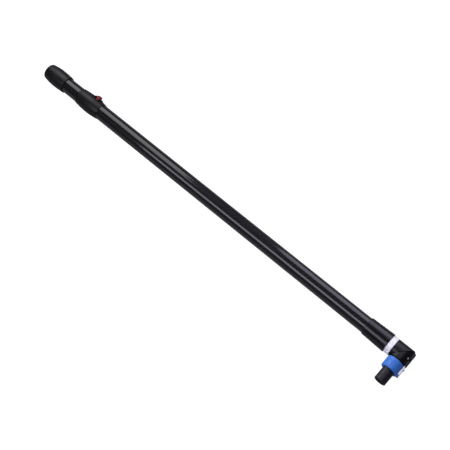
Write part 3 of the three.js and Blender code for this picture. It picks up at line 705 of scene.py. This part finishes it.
# %% Cut the inlet half of the elbow
NECK_RADIUS = 12.3
bush_end = measured("adapter_bush")[1]
root_start, insert_end, insert_bore, root_radius = measured("insert_barrel", INSERT)
inlet = turned([
    (inlet_start, NECK_RADIUS + GAP), (inlet_start, elbow_radius), (elbow_radius, elbow_radius),
    (elbow_radius, BORE), (bush_end + GAP, BORE), (bush_end + GAP, NECK_RADIUS + GAP),
])
inlet = combined(inlet, beyond(1, -1, -GAP / 2))
inlet = combined(inlet, beyond(1, 1, corner_cut))
insert_hole = rod(root_start - GAP, CLEAR, root_radius + GAP, 96)
bmesh.ops.rotate(
    insert_hole, verts=insert_hole.verts, matrix=Matrix.Rotation(math.pi / 2, 3, "Y"),
)
inlet = stepped(combined(inlet, insert_hole), 1)
fit("elbow_inlet_moulding", softened(inlet, 0.25), "elbow_inlet", matt_black, ELBOW)

# %% [markdown]
# The screw that holds the two halves together stands square to the connector's axis. It has a
# bench of its own, worked out from how far it is turned round that axis and from how far down
# the axis its plain version stands.

# %% Lay out the screw's bench
SCREW_TURN = math.radians(34)
to_side = down_insert.cross(along_pole)
screw_out = along_pole * math.cos(SCREW_TURN) + to_side * math.sin(SCREW_TURN)
screw_height = (sum(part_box("housing_screw"), Vector()) / 2 - crossing).dot(down_insert)
SCREW = workbench(screw_out, -down_insert, crossing + down_insert * screw_height)
screw_start, screw_end, _, screw_head = measured("housing_screw", SCREW)
print("screw", [round(value, 2) for value in measured("housing_screw", SCREW)])

# %% [markdown]
# The outlet half carries a flat ridge on its outer side, with a channel under it where the latch
# slides, and a round recess for the screw. The ridge is softened before it is joined on, so that
# only its own edges are rounded so far.

# %% Cut the outlet half of the elbow
OUTLET_END, RECESS_RADIUS, RECESS_DEPTH, SHANK_HOLE = 14.0, 3.6, 2.3, 1.8
# The ridge's end, half its width, how deep it roots, how far back it starts, and its roof.
RIDGE_END, RIDGE_HALF, RIDGE_ROOT, RIDGE_BACK, RIDGE_ROOF = 12.6, 6.8, 2.4, 6.0, 1.5
ridge_top = box_on("elbow_outlet", INSERT)[1].z
latch_low, latch_high = box_on("release_latch", INSERT)
outlet = turned([
    (-elbow_radius, BORE), (-elbow_radius, elbow_radius), (OUTLET_END, elbow_radius),
    (OUTLET_END, root_radius + GAP), (root_start - GAP, root_radius + GAP),
    (root_start - GAP, BORE),
])
outlet = combined(outlet, beyond(-1, 1, corner_cut))
ridge = block(
    (RIDGE_BACK - ridge_top, -RIDGE_HALF, elbow_radius - RIDGE_ROOT),
    (RIDGE_END, RIDGE_HALF, ridge_top),
)
outlet = combined(outlet, softened(ridge, 0.6, 3), "UNION")
outlet = combined(outlet, beyond(-1, -1, -GAP / 2))
channel = block(
    (box_on("latch_spring", INSERT)[0].x - GAP, latch_low.y - GAP, latch_low.z - GAP),
    (CLEAR, latch_high.y + GAP, ridge_top - RIDGE_ROOF),
)
outlet = combined(outlet, channel)
recess = rod(screw_end + GAP - RECESS_DEPTH, CLEAR, RECESS_RADIUS)
for drill in (recess, rod(screw_start - GAP, CLEAR, SHANK_HOLE, 24)):
    drill.transform(INSERT.inverted() @ SCREW)
    outlet = combined(outlet, drill)
outlet = softened(stepped(outlet, -1), 0.25)
fit("elbow_outlet_moulding", outlet, "elbow_outlet", matt_black, INSERT)

# %% [markdown]
# ## The housing screw
# A small domed screw with a cross slot, zinc plated, sits in the recess. The dome is a quarter of
# an ellipse in the outline, and two crossed blocks cut the slot.

# %% Make the screw
SHANK, SHANK_LENGTH, DOME = 1.5, 2.9, 1.6
SLOT_DEPTH, SLOT_LONG, SLOT_WIDE = 0.9, 1.5, 0.35
head = screw_start + SHANK_LENGTH
dome = [
    (screw_end - DOME * (1 - math.cos(turn)), screw_head * math.sin(turn))
    for turn in (step * math.pi / 16 for step in range(8, -1, -1))
]
screw = turned(
    [(screw_start, 0), (screw_start, SHANK), (head, SHANK), (head, screw_head)] + dome, 48,
)
for across, up in ((SLOT_LONG, SLOT_WIDE), (SLOT_WIDE, SLOT_LONG)):
    screw = combined(
        screw, block((screw_end - SLOT_DEPTH, -across, -up), (screw_end + 2, across, up)),
    )
fit("domed_screw", softened(screw, 0.08), "housing_screw", screw_zinc, SCREW)

# %% [markdown]
# ## The insert
# The insert is the barrel that goes into the socket: a thick root held in the housing, a plain
# barrel with a keyway down one side, and the carrier inside it that holds the four contacts.
# The mouth of the barrel shows as a thin ring round a deep slot, which the carrier's painted shade
# keeps dark.

# %% Make the insert and its carrier
BARREL_RADIUS, RING_FLANGE = 10.1, 2.0  # the blue ring's flange hooks over the shoulder
KEY_HALF, KEY_DEPTH = 1.5, 0.9
ring_start, ring_end = measured("locking_ring", INSERT)[:2]
shoulder = ring_end - RING_FLANGE - GAP
barrel = turned([
    (root_start, insert_bore), (root_start, root_radius), (shoulder, root_radius),
    (shoulder, BARREL_RADIUS), (insert_end, BARREL_RADIUS), (insert_end, insert_bore),
])
keyway = block(
    (shoulder + GAP, -KEY_HALF, BARREL_RADIUS - KEY_DEPTH), (CLEAR, KEY_HALF, CLEAR),
)
barrel = softened(combined(barrel, keyway), 0.4, 3, sharper_than=50)
fit("insert_moulding", barrel, "insert_barrel", filled_black, INSERT)

CORE_IN, CORE_HOLE, HOLE_DEPTH, FLANGE_LENGTH = 1.9, 1.9, 10, 10.5
carrier_start, carrier_end, _, carrier_radius = measured("contact_carrier", INSERT)
core, floor = carrier_radius - CORE_IN, carrier_end - HOLE_DEPTH
step_at = carrier_start + FLANGE_LENGTH
carrier = turned([
    (carrier_start, 0), (carrier_start, carrier_radius), (step_at, carrier_radius),
    (step_at, core), (carrier_end, core), (carrier_end, CORE_HOLE), (floor, CORE_HOLE), (floor, 0),
])
fit("carrier_moulding", softened(carrier, 0.25), "contact_carrier", carrier_black_mouth_shade, INSERT)

# %% [markdown]
# ## The blue ring
# The ring that turns to lock is blue nylon with fine ribs down its side, so that fingers grip
# it. The ribs are the widest faces of a turned ring, each inset and pushed outwards. Fifty-six
# of them make a pitch of 1.6 mm. The ring has a flat for the latch, and a foot that the latch
# rests on.

# %% Make the blue ring
RIBS, RIB_HEIGHT, RIB_SIDE, RING_RADIUS = 56, 0.35, 0.28, 14.9
PLAIN_EDGE, EDGE_BEVEL = 1.4, Vector((0.6, 0.5))  # along and outwards
FOOT_LENGTH, FOOT_HALF = 3, 5
body_radius = RING_RADIUS - RIB_HEIGHT
ring_bore, ring_mouth = root_radius + GAP, BARREL_RADIUS + GAP
ring = turned([
    (ring_start, ring_bore), (ring_start, body_radius - EDGE_BEVEL.y),
    (ring_start + EDGE_BEVEL.x, body_radius), (ring_start + PLAIN_EDGE, body_radius),
    (ring_end - PLAIN_EDGE, body_radius), (ring_end - EDGE_BEVEL.x, body_radius),
    (ring_end, body_radius - EDGE_BEVEL.y), (ring_end, ring_mouth),
    (ring_end - RING_FLANGE, ring_mouth), (ring_end - RING_FLANGE, ring_bore),
], RIBS)
wall_area = (ring_end - ring_start - 2 * PLAIN_EDGE) * math.tau * body_radius / RIBS
wall = [
    face for face in ring.faces
    if face.calc_center_median().yz.length > body_radius - 0.2
    and face.calc_area() > 0.8 * wall_area
]
print("ribs", len(wall), "of", round(wall_area, 2), "square millimetres")
bmesh.ops.inset_individual(ring, faces=wall, thickness=RIB_SIDE, depth=RIB_HEIGHT)
flat = block(
    (-CLEAR, latch_low.y - GAP, latch_low.z - GAP),
    (latch_high.x + GAP, latch_high.y + GAP, CLEAR),
)
foot = block(
    (ring_end - FOOT_LENGTH, -FOOT_HALF, latch_low.z - GAP), (ring_end, FOOT_HALF, ridge_top),
)
ring = combined(combined(ring, flat), softened(foot, 0.5, 3), "UNION")
fit("ribbed_ring", ring, "locking_ring", blue_band, INSERT, smooth=25)

# %% [markdown]
# ## The latch
# The latch is a bent strip of nickel-plated steel with a low ramp for the thumb. Its side is
# drawn once, as one face, and extruded across.

# %% Make the latch
STRIP, HIDDEN_LENGTH, THUMB_RAMP = 2, 14, 1
latch_top, under_ridge = ridge_top - 0.1, latch_low.z + STRIP
step_up = latch_low.x + HIDDEN_LENGTH
thumb = step_up + THUMB_RAMP
latch = extruded([
    (latch_low.x, latch_low.z), (latch_low.x, under_ridge), (step_up, under_ridge),
    (step_up, latch_top), (thumb, latch_top), (thumb + THUMB_RAMP, latch_top + THUMB_RAMP),
    (thumb + 2 * THUMB_RAMP, latch_top + THUMB_RAMP), (thumb + 5 * THUMB_RAMP, latch_top),
    (latch_high.x, latch_top), (latch_high.x, latch_low.z),
], latch_low.y, latch_high.y)
fit("thumb_latch", softened(latch, 0.3, 3, 25), "release_latch", nickel_plate, INSERT)

# %% [markdown]
# ## Seals
# The black rubber ring between the elbow and the blue ring is a cord, so its section is round
# on the outside. The seals on the spigot and in the cap are the same.


# %% Make the seals
def seal(node, name, bench=POLE):
    """A ring with a rounded outside."""
    start, end, inner, outer = measured(node, bench)
    depth = min(outer - inner, (end - start) / 2)
    crown = [
        (start + (end - start) * (1 - math.cos(turn)) / 2, outer - depth + depth * math.sin(turn))
        for turn in (step * math.pi / 8 for step in range(9))
    ]
    fit(name, turned([(start, inner)] + crown + [(end, inner)]), node, nitrile, bench)


seal("ring_seal", "ring_seal_cord", INSERT)
seal("cap_seal", "cap_seal_cord")
seal("spigot_seal", "spigot_seal_cord")

# %% [markdown]
# ## The spigot
# When the button is pressed the top of the pole comes away, and then the aluminium spigot shows.
# It is turned, with a groove for its seal, a bevelled tip and a slot for the catch.

# %% Make the spigot
GROOVE_DEPTH, TIP_BEVEL, CATCH_HALF, CATCH_DEPTH = 0.6, 1, 3.5, 1.3
spigot_far, spigot_tip, spigot_bore, plug_radius = measured("spigot")
seal_start, seal_end, seal_bore, _ = measured("spigot_seal")
groove_start, groove_end, groove_floor = seal_start - GAP, seal_end + GAP, seal_bore - GAP
upper_end = measured("upper_tube")[1]
spigot_radius = seal_bore + GROOVE_DEPTH
spigot = turned([
    (spigot_far, spigot_bore), (spigot_far, plug_radius), (upper_end, plug_radius),
    (upper_end, spigot_radius), (groove_start, spigot_radius), (groove_start, groove_floor),
    (groove_end, groove_floor), (groove_end, spigot_radius),
    (spigot_tip - TIP_BEVEL, spigot_radius), (spigot_tip, spigot_radius - TIP_BEVEL),
    (spigot_tip, spigot_bore),
])
catch_slot = block(
    (box_on("latch_plate")[0].x - GAP, -CATCH_HALF, -CLEAR),
    (CLEAR, CATCH_HALF, CATCH_DEPTH - spigot_radius),
)
spigot = combined(spigot, catch_slot)
fit("turned_spigot", softened(spigot, 0.2), "spigot", turned_aluminium)


# %% [markdown]
# ## Springs
# A coil spring is a small circle swept round an axis while it rises, which `spin` does in one
# step when it is given a shift as well as an angle. Both springs shorten as their joint moves,
# and each is given a mesh of its own.


# %% Make the springs
def coil(radius, wire, turns, length):
    """A coil spring standing on the bench's XY plane."""
    mesh = bmesh.new()
    made = bmesh.ops.create_circle(mesh, cap_ends=False, radius=wire / 2, segments=12)
    bmesh.ops.rotate(mesh, verts=mesh.verts, matrix=Matrix.Rotation(math.pi / 2, 3, "X"))
    bmesh.ops.translate(mesh, verts=mesh.verts, vec=(radius, 0, wire / 2))
    steps = turns * 24
    bmesh.ops.spin(
        mesh, geom=made["verts"] + mesh.edges[:], axis=(0, 0, 1), cent=(0, 0, 0),
        angle=math.tau * turns, steps=steps, dvec=(0, 0, (length - wire) / steps), use_merge=False,
    )
    bmesh.ops.holes_fill(mesh, edges=mesh.edges, sides=20)
    return closed(mesh)


BUTTON_WIRE, BUTTON_TURNS = 0.6, 5
LATCH_COIL, LATCH_WIRE, LATCH_TURNS = 0.75, 0.4, 7
spring = coil(
    spring_high.y - BUTTON_WIRE / 2, BUTTON_WIRE, BUTTON_TURNS, spring_high.z - spring_low.z,
)
bmesh.ops.translate(spring, verts=spring.verts, vec=(spring_x, 0, spring_low.z))
button_coil = fit("button_coil", spring, "button_spring", spring_wire, smooth=60)
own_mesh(button_coil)

low, high = box_on("latch_spring", INSERT)
spring = coil(LATCH_COIL, LATCH_WIRE, LATCH_TURNS, high.x - low.x)
bmesh.ops.rotate(spring, verts=spring.verts, matrix=Matrix.Rotation(math.pi / 2, 3, "Y"))
bmesh.ops.translate(spring, verts=spring.verts, vec=(low.x, 0, (low.z + high.z) / 2))
latch_coil = fit("latch_coil", spring, "latch_spring", spring_wire, INSERT, smooth=60)
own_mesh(latch_coil)

# %% [markdown]
# ## Pieces that keep their engineering shape
# The pins, bushes, cables and discs hide inside, and their plain shapes are right already. They
# only need their finish.

# %% Give the hidden pieces their finish
kept = {
    "coupling_body": turned_aluminium, "coupling_front_bush": turned_aluminium,
    "adapter_bush": turned_aluminium, "latch_plate": nickel_plate,
    "socket_carrier": filled_black, "coupling_plug": filled_black,
    "coupling_socket": filled_black, "cable_chuck": filled_black,
    "main_cable": jacket, "upper_cable": jacket,
}
for number in (1, 2, 3, 4):
    for stem in ("contact", "socket_pin", "coupling_pin"):
        kept[f"{stem}_{number}"] = gold_plate
for node_name, finish in kept.items():
    data = frame["nodes"][node_name].data
    data.materials.clear()
    data.materials.append(finish)
print("kept", len(kept), "pieces")

# %% [markdown]
# ## The studio
# The pole lies on a plain white table, which is bright enough to bleach out every shadow. It
# glows at full strength only for the camera. To the pole it is a greyer sheet with a faint glow,
# so the tube's underside stays dark.

# %% Lay the table
TABLE_REACH, TABLE_BELOW = 12, 0.0006
table_mesh = bmesh.new()
bmesh.ops.create_grid(table_mesh, x_segments=1, y_segments=1, size=TABLE_REACH)
bmesh.ops.translate(table_mesh, verts=table_mesh.verts, vec=(0, 0, -TABLE_BELOW))
table_data = bpy.data.meshes.new("white_table")
table_mesh.to_mesh(table_data)
table_mesh.free()
table = bpy.data.objects.new("white_table", table_data)
bpy.context.scene.collection.objects.link(table)
paper, paper_tree, paper_shader = shader("white paper sweep", {
    "Base Color": linear("#7c7c80"), "Roughness": 0.9, "Emission Color": linear("#ffffff"),
})
seen_directly = add(paper_tree, "ShaderNodeLightPath", {}).outputs["Is Camera Ray"]
glow = add(paper_tree, "ShaderNodeMapRange", {
    "Value": seen_directly, "To Min": 0.12, "To Max": 1.0,
})
paper_tree.links.new(glow.outputs[0], paper_shader.inputs["Emission Strength"])
table_data.materials.append(paper)

# %% [markdown]
# A glossy tube mirrors a long soft box that lies parallel to it as a band that runs along it, and
# how far round the tube the band lies depends only on how steeply the box looks down. Five boxes
# light the pole. Two stand behind it, one wide over its far part and one over its near part, and
# a narrow one stands in front. A small one hangs over the elbow, and a last one, whose light is
# narrowed by a grid, brightens the white ring and the connector from the side.


# %% Hang the soft boxes
def soft_box(name, towards, width, length, brightness, reach, colour, distance=1.2, spread=180):
    """A rectangular light whose length lies along the pole, shining at a point beside it."""
    aim = tube_middle * Vector((0, 1, 1)) + Vector((reach, 0, 0))
    data = bpy.data.lights.new(name, "AREA")
    data.shape = "RECTANGLE"
    data.size, data.size_y = length, width
    data.energy = brightness * math.pi * width * length
    data.color = linear(colour)[:3]
    data.spread = math.radians(spread)
    lamp = bpy.data.objects.new(name, data)
    lamp.visible_camera = False
    out = Vector(towards).normalized()
    side = (along_pole - out * along_pole.dot(out)).normalized()
    lamp.matrix_world = Matrix.Translation(aim + out * distance) @ Matrix(
        (side, out.cross(side), out)
    ).transposed().to_4x4()
    bpy.context.scene.collection.objects.link(lamp)
    print("light", name, [round(value, 2) for value in lamp.matrix_world.translation])


soft_box("back_box_far", (0, 0.485, 0.875), width=1.12, length=1.2, brightness=3.5,
         reach=-1.15, colour="#fbf8fb")
soft_box("back_box_near", (0, 0.722, 0.693), width=1.05, length=0.7, brightness=3.2,
         reach=0.18, colour="#efeaff")
soft_box("front_box", (0, -0.705, 0.71), width=0.48, length=1.3, brightness=4.4,
         reach=-0.08, colour="#f4f0ff")
soft_box("elbow_box", (0, 0.2, 0.98), width=0.36, length=0.3, brightness=3.0,
         reach=0.43, colour="#f0ebff")
soft_box("side_box", (-0.85, -0.1, 0.52), width=0.3, length=0.3, brightness=1.0,
         reach=0.38, colour="#f0ebff", distance=0.9, spread=45)

# %% [markdown]
# The room does as the table does: it is bright behind the table for the camera, and dim for
# everything that it lights.

# %% Set the light of the room
room = bpy.data.worlds.new("studio_room")
room.use_nodes = True
backdrop = room.node_tree.nodes["Background"]
backdrop.inputs["Color"].default_value = linear("#f4f5fa")
seen_directly = add(room.node_tree, "ShaderNodeLightPath", {}).outputs["Is Camera Ray"]
strength = add(room.node_tree, "ShaderNodeMapRange", {
    "Value": seen_directly, "To Min": 0.08, "To Max": 1.0,
})
room.node_tree.links.new(strength.outputs[0], backdrop.inputs["Strength"])
bpy.context.scene.world = room
bpy.context.scene.view_settings.view_transform = "Standard"

# %% [markdown]
# ## The camera
# The camera has a long lens. It stands high over the connector's end and looks back along the
# pole, so that the cap is far and small. It stands square to the pole at a point a little past
# the connector. Two directions fix how it is turned: where the pole runs and where the camera
# lies from that point, both in the camera's own right, up and back.

# %% Set up the camera
camera_data = bpy.data.cameras.new("studio_camera")
camera_data.lens = 72
camera_data.sensor_width = 36
camera_data.clip_start = 0.05
camera_data.clip_end = 60
camera = bpy.data.objects.new("studio_camera", camera_data)
bpy.context.scene.collection.objects.link(camera)

PAST_CROSSING, DISTANCE = 0.109, 1.434
square_point = crossing + along_pole * PAST_CROSSING
to_camera = Vector((0, -0.355, 0.935)).normalized()


def three_axes(first, second):
    """Three square axes, the first as given, as the columns of a matrix."""
    first = Vector(first).normalized()
    third = first.cross(Vector(second)).normalized()
    return Matrix((first, third.cross(first), third)).transposed()


seen = three_axes((0.73943, -0.59785, 0.30955), (-0.24833, 0.18518, 0.95081))
real = three_axes(along_pole, to_camera)
camera.matrix_world = (
    Matrix.Translation(square_point + to_camera * DISTANCE) @ (real @ seen.transposed()).to_4x4()
)
bpy.context.scene.camera = camera
print("camera at", [round(value, 3) for value in camera.matrix_world.translation])
